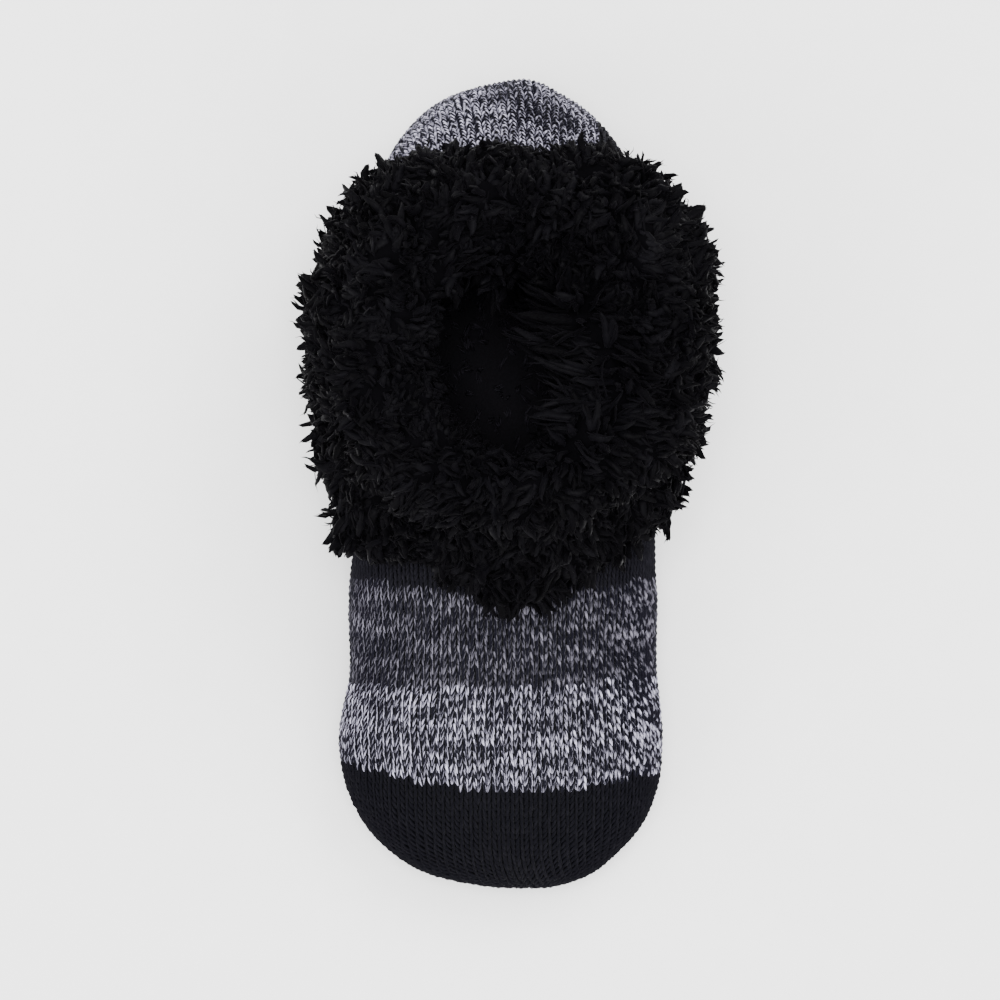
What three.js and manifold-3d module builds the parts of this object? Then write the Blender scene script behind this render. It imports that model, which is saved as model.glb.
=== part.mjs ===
// A fleece-lined slipper sock: a knitted upper with a sewn-in sole, a padded insole and a
// deep fleece cuff that is turned down over the collar. Millimetres, +Z up.
// The toe points along -Y, the heel along +Y, and the sock stands on its sole at z = 0.
import * as THREE from "three";
import { mergeVertices } from "three/addons/utils/BufferGeometryUtils.js";
import Module from "manifold-3d";

const wasm = await Module();
wasm.setup();

// Driving dimensions
const LENGTH = 250; // back of the heel to the tip of the toe
const BALL_WIDTH = 100; // widest place of the forefoot
const VAMP_HEIGHT = 54; // top of the foot in front of the throat
const COLLAR_HEIGHT = 96; // knitted rim above the floor
const KNIT_WALL = 3; // thickness of the knitted fabric
const FIT_GAP = 0.35; // clearance between touching pieces
const SOLE_THICKNESS = 5;
const SOLE_EDGE_RADIUS = 1.6;
const ARCH_LIFT = 1.2; // how far the sole clears the floor under the arch
const TOE_SPRING = 2.4; // how far the front of the sole clears the floor
const HEEL_SPRING = 1.2; // the same at the back of the heel
const INSOLE_THICKNESS = 5;
const CUFF_FOLD = 44; // how far the cuff is turned down beside the ankle
const CUFF_BULK = 12; // fleece outside the collar, beside the ankle, without its locks
const CUFF_LINING = 12; // fleece inside the collar
const CUFF_DEPTH_INSIDE = 30; // how far the cuff's fleece reaches down inside the collar
const CUFF_CROWN = 6; // fleece above the knitted rim
const LOCK_LENGTH = 21; // a lock of fleece, root to tip
const LOCK_WIDTH = 15; // a lock at its widest
const LOCK_SPACING = 24; // between neighbouring locks

const HALF_WIDTH = BALL_WIDTH / 2;
const COLLAR_RISE = COLLAR_HEIGHT - VAMP_HEIGHT;

// Rows with named columns
function table(names, ...rows) {
  return rows.map((row) => Object.fromEntries(names.map((name, k) => [name, row[k]])));
}

// Sections of the foot and ankle from the toe to the rim. Each section is a closed curve in the
// plane through its top point and its bottom point. Lengths are shares of the named sizes:
// topY and baseY of LENGTH, vamp of VAMP_HEIGHT, rise of COLLAR_RISE, baseZ of COLLAR_HEIGHT,
// half and lean of HALF_WIDTH. belly is where the section is widest, from its bottom.
const SECTIONS = table(
  ["topY", "vamp", "rise", "baseY", "baseZ", "half", "lean", "belly", "crown", "base"],
  [0.0, 0.29, 0, 0.0, 0.155, 0.0, 0.13, 0.45, 2, 2],
  [0.003, 0.4, 0, 0.004, 0.098, 0.24, 0.09, 0.45, 2, 2.1],
  [0.018, 0.53, 0, 0.019, 0.047, 0.5, 0.025, 0.44, 2.1, 2.3],
  [0.045, 0.635, 0, 0.045, 0.017, 0.69, -0.01, 0.43, 2.1, 2.7],
  [0.08, 0.715, 0, 0.08, 0.005, 0.85, -0.02, 0.42, 2.15, 3.2],
  [0.115, 0.775, 0, 0.115, 0, 0.94, -0.025, 0.42, 2.2, 3.5],
  [0.15, 0.82, 0, 0.15, 0, 0.985, -0.028, 0.42, 2.2, 3.7],
  [0.19, 0.86, 0, 0.19, 0, 0.99, -0.035, 0.42, 2.2, 3.8],
  [0.228, 0.89, 0, 0.228, 0, 0.965, -0.035, 0.42, 2.2, 3.8],
  [0.268, 0.92, 0, 0.268, 0, 0.94, -0.022, 0.42, 2.2, 3.8],
  [0.335, 0.975, 0, 0.34, 0, 0.945, -0.022, 0.42, 2.15, 3.8],
  [0.392, 1, 0.06, 0.42, 0, 0.95, -0.022, 0.43, 2.1, 3.8],
  [0.431, 1, 0.19, 0.52, 0, 0.945, -0.015, 0.44, 2.1, 3.7],
  [0.457, 1, 0.33, 0.63, 0, 0.925, -0.005, 0.45, 2.05, 3.6],
  [0.472, 1, 0.45, 0.74, 0, 0.9, 0, 0.46, 2, 3.5],
  [0.481, 1, 0.55, 0.845, 0, 0.88, 0, 0.46, 2, 3.3],
  [0.487, 1, 0.64, 0.935, 0.02, 0.875, -0.005, 0.46, 2, 2.9],
  [0.49, 1, 0.72, 0.985, 0.15, 0.87, -0.01, 0.46, 2, 2.4],
  [0.491, 1, 0.79, 1.0, 0.35, 0.86, -0.01, 0.47, 2, 2.1],
  [0.491, 1, 0.85, 0.975, 0.56, 0.835, -0.005, 0.48, 2, 2],
  [0.489, 1, 0.91, 0.918, 0.75, 0.805, 0, 0.49, 2, 2],
  [0.486, 1, 0.96, 0.866, 0.89, 0.785, 0, 0.5, 2, 2],
  [0.482, 1, 1, 0.838, 1, 0.78, 0, 0.5, 2, 2],
);
const RIM = SECTIONS.length - 1;
const RINGS_PER_SECTION = [3, 2, 2, 2, 1, 1, 1, 1, 1, 1, 1, 1, 1, 1, 1, 1, 2, 2, 2, 2, 1, 1];
const RING_POINTS = 30;

// Plan of the sole: y as a share of LENGTH, left and right as shares of HALF_WIDTH
const SOLE_PLAN = [
  { y: 0.033, left: 0.04, right: 0.22 },
  { y: 0.042, left: 0.3, right: 0.42 },
  { y: 0.06, left: 0.5, right: 0.54 },
  { y: 0.09, left: 0.665, right: 0.66 },
  { y: 0.13, left: 0.765, right: 0.755 },
  { y: 0.19, left: 0.795, right: 0.785 },
  { y: 0.28, left: 0.745, right: 0.75 },
  { y: 0.4, left: 0.715, right: 0.72 },
  { y: 0.54, left: 0.69, right: 0.71 },
  { y: 0.68, left: 0.66, right: 0.7 },
  { y: 0.79, left: 0.61, right: 0.67 },
  { y: 0.86, left: 0.51, right: 0.58 },
  { y: 0.905, left: 0.36, right: 0.43 },
  { y: 0.93, left: 0.1, right: 0.17 },
];
// Where the sole leaves the floor, as shares of LENGTH
const FOREFOOT_FLAT = { from: 0.11, to: 0.4 };
const HEEL_FLAT = { from: 0.68, to: 0.85 };

// The cuff round the collar, from the throat over the right side to the back and on.
// fold, bulk, lining and hang are shares of CUFF_FOLD, CUFF_BULK, CUFF_LINING and LOCK_LENGTH.
const CUFF_ROWS = [
  { turn: 0, fold: 1.32, bulk: 0.75, lining: 0.6, hang: 1.1 },
  { turn: 30, fold: 1.24, bulk: 0.85, lining: 0.75, hang: 1.05 },
  { turn: 60, fold: 1.44, bulk: 1.1, lining: 1.15, hang: 1 },
  { turn: 90, fold: 1.14, bulk: 1.1, lining: 1.6, hang: 1 },
  { turn: 120, fold: 0.85, bulk: 1.12, lining: 1.8, hang: 1 },
  { turn: 150, fold: 0.6, bulk: 0.8, lining: 1.75, hang: 0.85 },
  { turn: 180, fold: 0.45, bulk: 0.45, lining: 1.6, hang: 0.7 },
  { turn: 210, fold: 0.6, bulk: 0.8, lining: 1.2, hang: 0.85 },
  { turn: 240, fold: 0.95, bulk: 0.9, lining: 0.9, hang: 1 },
  { turn: 270, fold: 1.45, bulk: 1, lining: 0.8, hang: 1 },
  { turn: 300, fold: 1.8, bulk: 1.3, lining: 0.7, hang: 1.1 },
  { turn: 330, fold: 1.2, bulk: 0.95, lining: 0.6, hang: 1 },
];
const CUFF_SLICES = 30;
const LUMPS = 8; // soft lumps round the cuff, each thicker than the mean by the share LUMP
const LUMP = 0.1;
// The cuff's outside from the rim to its lower edge: share of the fold, share of the bulk
const CUFF_PROFILE = [
  { down: 0.0, out: 0.88 },
  { down: 0.25, out: 1.06 },
  { down: 0.55, out: 1.1 },
  { down: 0.84, out: 0.86 },
  { down: 1.0, out: 0.4 },
];
// The cuff's inside from its lower end up to the rim: share of the depth, share of the lining
const LINING_PROFILE = [
  { down: 0.95, out: 0.5 },
  { down: 0.6, out: 1 },
  { down: 0.25, out: 1 },
];
// The crown's two shoulders beside its top: share of the lining or the bulk, share of the crown
const INNER_SHOULDER = { out: 0.8, up: 0.55 };
const OUTER_SHOULDER = { out: 0.5, up: 0.8 };

// Catmull-Rom value between four neighbours
function between(a, b, c, d, u) {
  const slope = c - a;
  const bend = 2 * a - 5 * b + 4 * c - d;
  const twist = 3 * b - a - 3 * c + d;
  return b + 0.5 * u * (slope + u * (bend + u * twist));
}

// A column of a table at a fractional row
function column(rows, name, t) {
  const last = rows.length - 1;
  const row = Math.min(Math.floor(t), last - 1);
  const at = (k) => rows[Math.min(Math.max(k, 0), last)][name];
  return between(at(row - 1), at(row), at(row + 1), at(row + 2), t - row);
}

// A column of the cuff's table at an angle in radians, closed round the collar
function cuffColumn(name, angle) {
  const count = CUFF_ROWS.length;
  const t = ((((angle / (2 * Math.PI)) % 1) + 1) % 1) * count;
  const row = Math.floor(t);
  const at = (k) => CUFF_ROWS[(k + count) % count][name];
  return between(at(row - 1), at(row), at(row + 1), at(row + 2), t - row);
}

// A cosine or sine raised for a superellipse, with its sign kept
function rounded(value, exponent) {
  return Math.sign(value) * Math.abs(value) ** (2 / exponent);
}

// Point of the knitted surface: t counts sections from the toe, angle runs from the top of the
// section over the right side to the bottom
function skin(t, angle) {
  const pick = (name) => column(SECTIONS, name, t);
  const topZ = pick("vamp") * VAMP_HEIGHT + pick("rise") * COLLAR_RISE;
  const top = new THREE.Vector3(0, pick("topY") * LENGTH, topZ);
  const bottom = new THREE.Vector3(0, pick("baseY") * LENGTH, pick("baseZ") * COLLAR_HEIGHT);
  const belly = pick("belly");
  const upward = Math.cos(angle);
  const exponent = upward >= 0 ? pick("crown") : pick("base");
  const reach = upward >= 0 ? 1 - belly : belly;
  const point = bottom.clone().lerp(top, belly + reach * rounded(upward, exponent));
  const half = Math.max(pick("half"), 0) * HALF_WIDTH;
  point.x = pick("lean") * HALF_WIDTH + half * rounded(Math.sin(angle), exponent);
  point.z = Math.max(point.z, 0);
  return point;
}

// Unit vector out of the knitted surface, from the points a small step away
function outward(t, angle) {
  const step = 0.04;
  const t0 = Math.max(t - step, step / 4);
  const t1 = Math.min(t + step, RIM);
  const along = skin(t1, angle).sub(skin(t0, angle));
  const round = skin((t0 + t1) / 2, angle + step).sub(skin((t0 + t1) / 2, angle - step));
  return along.cross(round).normalize().negate();
}

// Point at a distance out of the knitted surface, or into it if the distance is negative
function beside(t, angle, distance) {
  return skin(t, angle).addScaledVector(outward(t, angle), distance);
}

// Section numbers of the rings from the toe to the rim
function ringPlaces() {
  const places = [];
  RINGS_PER_SECTION.forEach((count, section) => {
    for (let k = 0; k < count; k += 1) places.push(section + k / count);
  });
  return [...places, RIM];
}

// A ring of points at one distance from the knitted surface
function ring(t, distance) {
  const angles = Array.from({ length: RING_POINTS }, (_, k) => (k / RING_POINTS) * 2 * Math.PI);
  return angles.map((angle) => beside(t, angle, distance));
}

// Closed surface through rings of points. A ring of one point is a pole. Joined rings make a torus.
function surface(rings, joined = false) {
  const points = [];
  const starts = rings.map((one) => {
    points.push(...one);
    return points.length - one.length;
  });
  const faces = [];
  const rows = joined ? rings.length : rings.length - 1;
  for (let i = 0; i < rows; i += 1) {
    const next = (i + 1) % rings.length;
    const here = rings[i].length;
    const there = rings[next].length;
    const count = Math.max(here, there);
    for (let k = 0; k < count; k += 1) {
      const a = starts[i] + (k % here);
      const b = starts[i] + ((k + 1) % here);
      const c = starts[next] + ((k + 1) % there);
      const d = starts[next] + (k % there);
      if (here > 1) faces.push(a, b, c);
      if (there > 1) faces.push(a, c, d);
    }
  }
  const geometry = new THREE.BufferGeometry().setFromPoints(points);
  geometry.setIndex(faces);
  return geometry;
}

// A three.js geometry as a solid that can be cut and joined
function solid(geometry) {
  const bare = geometry.clone();
  bare.deleteAttribute("normal");
  bare.deleteAttribute("uv");
  const merged = mergeVertices(bare, 1e-3);
  return new wasm.Manifold(
    new wasm.Mesh({
      numProp: 3,
      vertProperties: merged.attributes.position.array,
      triVerts: new Uint32Array(merged.index.array),
    }),
  );
}

// A solid's surface as a three.js geometry
function geometryOf(shape) {
  const data = shape.getMesh();
  const geometry = new THREE.BufferGeometry();
  geometry.setAttribute("position", new THREE.BufferAttribute(data.vertProperties, 3));
  geometry.setIndex(new THREE.BufferAttribute(data.triVerts, 1));
  return geometry;
}

// The outermost body of a solid, without sealed pockets or loose crumbs
function outermost(shape) {
  const bodies = solid(geometryOf(shape)).decompose();
  const largest = bodies.reduce((best, body) => (body.volume() > best.volume() ? body : best));
  return bodies.length === 1 ? largest : outermost(largest);
}

// Centre of the toe's closed end at a distance from the surface
function toePole(distance) {
  const tip = skin(0, 0);
  tip.y -= distance;
  return tip;
}

// Height of the sole's underside above the floor
function underside(y) {
  const share = y / LENGTH;
  const ease = (from, to) => THREE.MathUtils.smoothstep(share, from, to);
  const front = 1 - ease(SOLE_PLAN[0].y, FOREFOOT_FLAT.from);
  const middle = (FOREFOOT_FLAT.to + HEEL_FLAT.from) / 2;
  const arch = share < middle ? ease(FOREFOOT_FLAT.to, middle) : 1 - ease(middle, HEEL_FLAT.from);
  const back = ease(HEEL_FLAT.to, SOLE_PLAN[SOLE_PLAN.length - 1].y);
  return TOE_SPRING * front + ARCH_LIFT * arch + HEEL_SPRING * back;
}

// The sole's plan in millimetres, with rows between those of the table
const SOLE_STEPS = 2;
function solePlan() {
  const count = (SOLE_PLAN.length - 1) * SOLE_STEPS + 1;
  return Array.from({ length: count }, (_, k) => {
    const pick = (name) => column(SOLE_PLAN, name, k / SOLE_STEPS);
    return { y: pick("y") * LENGTH, left: -pick("left") * HALF_WIDTH, right: pick("right") * HALF_WIDTH };
  });
}

// Outline of the sole, let out by a margin, as plan points round from the toe's left side
function soleOutline(margin) {
  const side = (name) => solePlan().map((row) => new THREE.Vector2(row[name], row.y));
  const loop = [...side("left"), ...side("right").reverse()];
  return loop.map((point, k) => {
    const before = loop[(k + loop.length - 1) % loop.length];
    const after = loop[(k + 1) % loop.length];
    const along = after.clone().sub(before).normalize();
    return new THREE.Vector2(point.x - along.y * margin, point.y + along.x * margin);
  });
}

// Block that opens the underside of the knitted upper for the sole. It reaches past both faces.
function soleOpening() {
  const plan = new THREE.Shape(soleOutline(FIT_GAP));
  const past = 1;
  const depth = past + SOLE_THICKNESS + KNIT_WALL;
  const block = new THREE.ExtrudeGeometry(plan, { depth, bevelEnabled: false });
  block.translate(0, 0, -past);
  return solid(block);
}

// The sole: one section a row of its plan, with a rounded lower edge
function sole() {
  const plan = solePlan();
  const rings = plan.map(({ y, left, right }) => {
    const low = underside(y);
    const edge = SOLE_EDGE_RADIUS;
    const cut = edge * (1 - Math.SQRT1_2);
    const middle = (left + right) / 2;
    const outline = [
      [left, SOLE_THICKNESS],
      [left, low + edge],
      [left + cut, low + cut],
      [left + edge, low],
      [middle, low],
      [right - edge, low],
      [right - cut, low + cut],
      [right, low + edge],
      [right, SOLE_THICKNESS],
      [middle, SOLE_THICKNESS],
    ];
    return outline.reverse().map(([x, z]) => new THREE.Vector3(x, y, z));
  });
  const end = ({ y, left, right }) => [
    new THREE.Vector3((left + right) / 2, y, (underside(y) + SOLE_THICKNESS) / 2),
  ];
  return solid(surface([end(plan[0]), ...rings, end(plan[plan.length - 1])]));
}

// A hollow wall in the shape of the knit, with its two faces at distances from the knitted surface
function shell(outside, inside) {
  const places = ringPlaces().slice(1);
  const outer = places.map((t) => ring(t, outside));
  const inner = places.map((t) => ring(t, inside)).reverse();
  const lip = new THREE.Vector3(0, 0, outside);
  [outer[outer.length - 1], inner[0]].forEach((edge) => edge.forEach((point) => point.add(lip)));
  return solid(surface([[toePole(outside)], ...outer, ...inner, [toePole(inside)]]));
}

// The knitted upper: one hollow wall, open at the collar and where the sole closes it
function upper() {
  return shell(0, -KNIT_WALL).subtract(soleOpening());
}

// The padded insole: what the inside of the upper leaves above the sole
function insole() {
  const clearance = KNIT_WALL + FIT_GAP;
  const places = ringPlaces().slice(1);
  const room = surface([
    [toePole(-clearance)],
    ...places.map((t) => ring(t, -clearance)),
    [skin(RIM, 0).add(skin(RIM, Math.PI)).multiplyScalar(0.5)],
  ]);
  const low = SOLE_THICKNESS + FIT_GAP;
  const slab = new THREE.BoxGeometry(2 * BALL_WIDTH, 2 * LENGTH, INSOLE_THICKNESS);
  slab.translate(0, LENGTH / 2, low + INSOLE_THICKNESS / 2);
  return solid(room).intersect(solid(slab));
}

// Section numbers and distances down the surface from the rim, at an angle round the collar
const STRIDE = 0.1;
const descents = new Map();
function descent(angle) {
  if (!descents.has(angle)) {
    const path = [{ t: RIM, distance: 0 }];
    let here = skin(RIM, angle);
    for (let t = RIM - STRIDE; t > 0; t -= STRIDE) {
      const next = skin(t, angle);
      path.push({ t, distance: path[path.length - 1].distance + here.distanceTo(next) });
      here = next;
    }
    descents.set(angle, path);
  }
  return descents.get(angle);
}

// Section number that lies a given distance down the surface from the rim
function down(angle, distance) {
  const path = descent(angle);
  const k = Math.max(path.findIndex((step) => step.distance >= distance), 1);
  const share = (distance - path[k - 1].distance) / (path[k].distance - path[k - 1].distance);
  return THREE.MathUtils.lerp(path[k - 1].t, path[k].t, share);
}

// Point beside the rim: a distance outside the knitted surface and a height above the rim
function overRim(angle, distance, height) {
  return beside(RIM, angle, distance).add(new THREE.Vector3(0, 0, height));
}

// The cuff's open face at an angle, from inside the collar over the crown to the lower edge
function cuffFace(angle) {
  const fold = cuffColumn("fold", angle) * CUFF_FOLD;
  const bulk = cuffColumn("bulk", angle) * CUFF_BULK * (1 + LUMP * Math.sin(LUMPS * angle));
  const lining = cuffColumn("lining", angle) * CUFF_LINING;
  const inner = -KNIT_WALL - FIT_GAP;
  return [
    ...LINING_PROFILE.map((row) =>
      beside(down(angle, row.down * CUFF_DEPTH_INSIDE), angle, inner - row.out * lining),
    ),
    overRim(angle, inner - INNER_SHOULDER.out * lining, INNER_SHOULDER.up * CUFF_CROWN),
    overRim(angle, -KNIT_WALL / 2, CUFF_CROWN),
    overRim(angle, FIT_GAP + OUTER_SHOULDER.out * bulk, OUTER_SHOULDER.up * CUFF_CROWN),
    ...CUFF_PROFILE.map((row) => beside(down(angle, row.down * fold), angle, FIT_GAP + row.out * bulk)),
  ];
}

// The cuff's hidden face, inside the wall of the knit, which is cut away later
function cuffBack(angle) {
  const fold = cuffColumn("fold", angle) * CUFF_FOLD;
  return [0, 0.25, 0.5, 0.75, 1].map((share) => {
    const depth = THREE.MathUtils.lerp(fold, CUFF_DEPTH_INSIDE, share);
    return beside(down(angle, depth), angle, -KNIT_WALL / 2);
  });
}

// One lock of fleece: a tuft that leaves the surface along its normal and bends with the flow.
// along and out are shares of its length, half and deep shares of its width.
const LOCK_SHAPE = [
  { along: 0.0, out: -0.06, half: 0.42, deep: 0.26 },
  { along: 0.3, out: 0.12, half: 0.52, deep: 0.36 },
  { along: 0.66, out: 0.2, half: 0.34, deep: 0.24 },
];
const LOCK_ROOT = { along: -0.1, out: -0.1 };
const LOCK_TIP = { along: 1, out: 0.24 };
function lock(root, normal, flow, length, width) {
  const sideways = normal.clone().cross(flow).normalize();
  const place = ({ out, along }) =>
    root.clone().addScaledVector(normal, out * length).addScaledVector(flow, along * length);
  const rings = LOCK_SHAPE.map((row) => {
    const centre = place(row);
    return [
      centre.clone().addScaledVector(normal, row.deep * width),
      centre.clone().addScaledVector(sideways, -row.half * width),
      centre.clone().addScaledVector(normal, -row.deep * width),
      centre.clone().addScaledVector(sideways, row.half * width),
    ];
  });
  return solid(surface([[place(LOCK_ROOT)], ...rings, [place(LOCK_TIP)]]));
}

// A repeatable number from 0 to 1 that looks random: the far decimals of a sine
function scatter(seed) {
  const value = Math.sin(seed * 127.1 + 11.7) * 43758.5453;
  return value - Math.floor(value);
}

// Place on the cuff's open face: share 0 is inside the collar, share 1 the lower edge
function onFace(angle, share) {
  const line = new THREE.CurvePath();
  const points = cuffFace(angle);
  points.slice(1).forEach((point, k) => line.add(new THREE.LineCurve3(points[k], point)));
  const step = 0.04;
  const here = line.getPointAt(share);
  const before = line.getPointAt(Math.max(share - step, 0));
  const after = line.getPointAt(Math.min(share + step, 1));
  return { here, tangent: after.sub(before).normalize() };
}

// Locks in staggered rows from inside the collar over the crown to the cuff's lower edge
const LOCK_ROWS = { count: 6, from: 0.06, to: 0.98 }; // shares of the face
const INSIDE_SHARE = 0.3; // the part of the face that lies inside the crown
const INSIDE_LOCK = 0.6; // length of a lock inside the collar, as a share of the others
const INSIDE_GIRTH = 0.62; // half width of the hole between the locks, as a share of HALF_WIDTH
const LOCK_STRAY = 0.3; // how far a lock leaves its place, as a share of the spacing
const LOCK_SWAY = 1.1; // how far a lock turns aside from the flow
const LOCK_VARIATION = 0.4; // spread of the lengths
function cuffLocks() {
  const locks = [];
  for (let row = 0; row < LOCK_ROWS.count; row += 1) {
    const share = THREE.MathUtils.lerp(LOCK_ROWS.from, LOCK_ROWS.to, row / (LOCK_ROWS.count - 1));
    const inside = share < INSIDE_SHARE;
    const radius = inside ? HALF_WIDTH * INSIDE_GIRTH : HALF_WIDTH + CUFF_BULK / 2;
    const count = Math.round((2 * Math.PI * radius) / LOCK_SPACING);
    for (let k = 0; k < count; k += 1) {
      const seed = row * 97 + k;
      const stray = LOCK_STRAY * (scatter(seed) - 0.5);
      const angle = ((k + (row % 2) / 2 + stray) / count) * 2 * Math.PI;
      const place = onFace(angle, share);
      const beyond = onFace(angle + 0.05, share);
      const round = beyond.here.sub(place.here).normalize();
      const normal = round.clone().cross(place.tangent).normalize();
      const outside = (share - INSIDE_SHARE) / (1 - INSIDE_SHARE);
      const flow = place.tangent.clone().multiplyScalar(inside ? -1 : 1);
      flow.addScaledVector(round, LOCK_SWAY * (scatter(seed + 0.3) - 0.5)).normalize();
      const hang = inside ? INSIDE_LOCK : 1 + (cuffColumn("hang", angle) - 1) * outside;
      const length = LOCK_LENGTH * hang * (1 + LOCK_VARIATION * (scatter(seed + 0.9) - 0.5));
      const width = LOCK_WIDTH * (inside ? INSIDE_LOCK : 1);
      locks.push(lock(place.here, normal, flow, length, width));
    }
  }
  return locks;
}

// The fleece cuff: a folded ring over the collar's rim with its locks fused on
function cuff() {
  const slices = Array.from({ length: CUFF_SLICES }, (_, k) => {
    const angle = (k / CUFF_SLICES) * 2 * Math.PI;
    return [...cuffFace(angle), ...cuffBack(angle)];
  });
  const fleece = wasm.Manifold.union([solid(surface(slices, true)), ...cuffLocks()]);
  return fleece.subtract(shell(FIT_GAP, -KNIT_WALL - FIT_GAP));
}

const PIECES = [
  { name: "upper", shape: upper(), look: { color: 0x55555f, roughness: 0.95, metalness: 0 } },
  { name: "sole", shape: sole(), look: { color: 0x1c1b22, roughness: 0.95, metalness: 0 } },
  { name: "insole", shape: insole(), look: { color: 0x121116, roughness: 1, metalness: 0 } },
  { name: "cuff", shape: cuff(), look: { color: 0x17161b, roughness: 1, metalness: 0 } },
];

// The origin is the middle of the whole sock's box, on the floor
const boxes = PIECES.map((piece) => piece.shape.boundingBox());
const lowest = [0, 1, 2].map((axis) => Math.min(...boxes.map((box) => box.min[axis])));
const highest = [0, 1, 2].map((axis) => Math.max(...boxes.map((box) => box.max[axis])));
const shift = [-(lowest[0] + highest[0]) / 2, -(lowest[1] + highest[1]) / 2, -lowest[2]];

const sock = new THREE.Group();
PIECES.forEach(({ name, shape, look }) => {
  const geometry = geometryOf(outermost(shape.translate(shift)));
  geometry.computeVertexNormals();
  const mesh = new THREE.Mesh(geometry, new THREE.MeshStandardMaterial(look));
  mesh.name = name;
  sock.add(mesh);
});

export default sock;
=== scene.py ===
import math

import bpy
import numpy as np
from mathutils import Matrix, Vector


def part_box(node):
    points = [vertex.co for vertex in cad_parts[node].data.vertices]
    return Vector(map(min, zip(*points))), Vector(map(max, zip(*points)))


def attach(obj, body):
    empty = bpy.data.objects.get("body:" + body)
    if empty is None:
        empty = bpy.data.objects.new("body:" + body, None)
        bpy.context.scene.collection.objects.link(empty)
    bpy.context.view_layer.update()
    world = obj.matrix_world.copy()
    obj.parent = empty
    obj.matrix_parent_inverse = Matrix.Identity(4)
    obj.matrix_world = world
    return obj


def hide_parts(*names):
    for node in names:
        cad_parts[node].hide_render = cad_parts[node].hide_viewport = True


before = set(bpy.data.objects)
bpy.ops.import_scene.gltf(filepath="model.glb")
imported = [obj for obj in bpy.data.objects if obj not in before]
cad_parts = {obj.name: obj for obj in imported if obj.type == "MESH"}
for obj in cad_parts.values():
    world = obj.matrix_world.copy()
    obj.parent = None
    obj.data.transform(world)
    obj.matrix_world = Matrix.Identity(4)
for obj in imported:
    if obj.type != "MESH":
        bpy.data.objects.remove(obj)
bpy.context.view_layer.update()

# Sizes of the sock in millimetres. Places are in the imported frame: x across, y from toe to heel.
LENGTH = 250.0
BALL_WIDTH = 100.0
VAMP_HEIGHT = 54.0
COLLAR_HEIGHT = 96.0
KNIT_WALL = 3.0
FIT_GAP = 0.35
SOLE_THICKNESS = 5.0
SOLE_EDGE_RADIUS = 1.6
ARCH_LIFT = 1.2
GRIP_RISE = 0.7  # how far the grip dots stand out of the sole
DOT_RADIUS = 1.9
DOT_PITCH = 8.5
DOT_ROWS = 7.5
DOT_EDGE = 5.0  # bare sole between the dots and its edge
TOE_SPRING = 2.4
HEEL_SPRING = 1.2
INSOLE_THICKNESS = 5.0
CUFF_FOLD = 44.0
CUFF_BULK = 12.0
CUFF_LINING = 12.0
CUFF_DEPTH_INSIDE = 30.0
CUFF_CROWN = 6.0
DRAPE_FROM = 105  # degrees round the collar where the fleece drapes furthest over the hole
CREST_FROM = 190  # the same for the tuft that falls from the back
CREST_WIDTH = 26  # degrees
HALF_WIDTH = BALL_WIDTH / 2
COLLAR_RISE = COLLAR_HEIGHT - VAMP_HEIGHT
MM = 0.001

# Sections from the toe to the rim, as shares of the sizes above
# topY, vamp, rise, baseY, baseZ, half, lean, belly, crown, base
SECTIONS = np.array([
    (0.0, 0.29, 0, 0.0, 0.155, 0.0, 0.13, 0.45, 2, 2),
    (0.003, 0.4, 0, 0.004, 0.098, 0.24, 0.09, 0.45, 2, 2.1),
    (0.018, 0.53, 0, 0.019, 0.047, 0.5, 0.025, 0.44, 2.1, 2.3),
    (0.045, 0.635, 0, 0.045, 0.017, 0.69, -0.01, 0.43, 2.1, 2.7),
    (0.08, 0.715, 0, 0.08, 0.005, 0.85, -0.02, 0.42, 2.15, 3.2),
    (0.115, 0.775, 0, 0.115, 0, 0.94, -0.025, 0.42, 2.2, 3.5),
    (0.15, 0.82, 0, 0.15, 0, 0.985, -0.028, 0.42, 2.2, 3.7),
    (0.19, 0.86, 0, 0.19, 0, 0.99, -0.035, 0.42, 2.2, 3.8),
    (0.228, 0.89, 0, 0.228, 0, 0.965, -0.035, 0.42, 2.2, 3.8),
    (0.268, 0.92, 0, 0.268, 0, 0.94, -0.022, 0.42, 2.2, 3.8),
    (0.335, 0.975, 0, 0.34, 0, 0.945, -0.022, 0.42, 2.15, 3.8),
    (0.392, 1, 0.06, 0.42, 0, 0.95, -0.022, 0.43, 2.1, 3.8),
    (0.431, 1, 0.19, 0.52, 0, 0.945, -0.015, 0.44, 2.1, 3.7),
    (0.457, 1, 0.33, 0.63, 0, 0.925, -0.005, 0.45, 2.05, 3.6),
    (0.472, 1, 0.45, 0.74, 0, 0.9, 0, 0.46, 2, 3.5),
    (0.481, 1, 0.55, 0.845, 0, 0.88, 0, 0.46, 2, 3.3),
    (0.487, 1, 0.64, 0.935, 0.02, 0.875, -0.005, 0.46, 2, 2.9),
    (0.49, 1, 0.72, 0.985, 0.15, 0.87, -0.01, 0.46, 2, 2.4),
    (0.491, 1, 0.79, 1.0, 0.35, 0.86, -0.01, 0.47, 2, 2.1),
    (0.491, 1, 0.85, 0.975, 0.56, 0.835, -0.005, 0.48, 2, 2),
    (0.489, 1, 0.91, 0.918, 0.75, 0.805, 0, 0.49, 2, 2),
    (0.486, 1, 0.96, 0.866, 0.89, 0.785, 0, 0.5, 2, 2),
    (0.482, 1, 1, 0.838, 1, 0.78, 0, 0.5, 2, 2),
])
RIM = float(len(SECTIONS) - 1)

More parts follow.
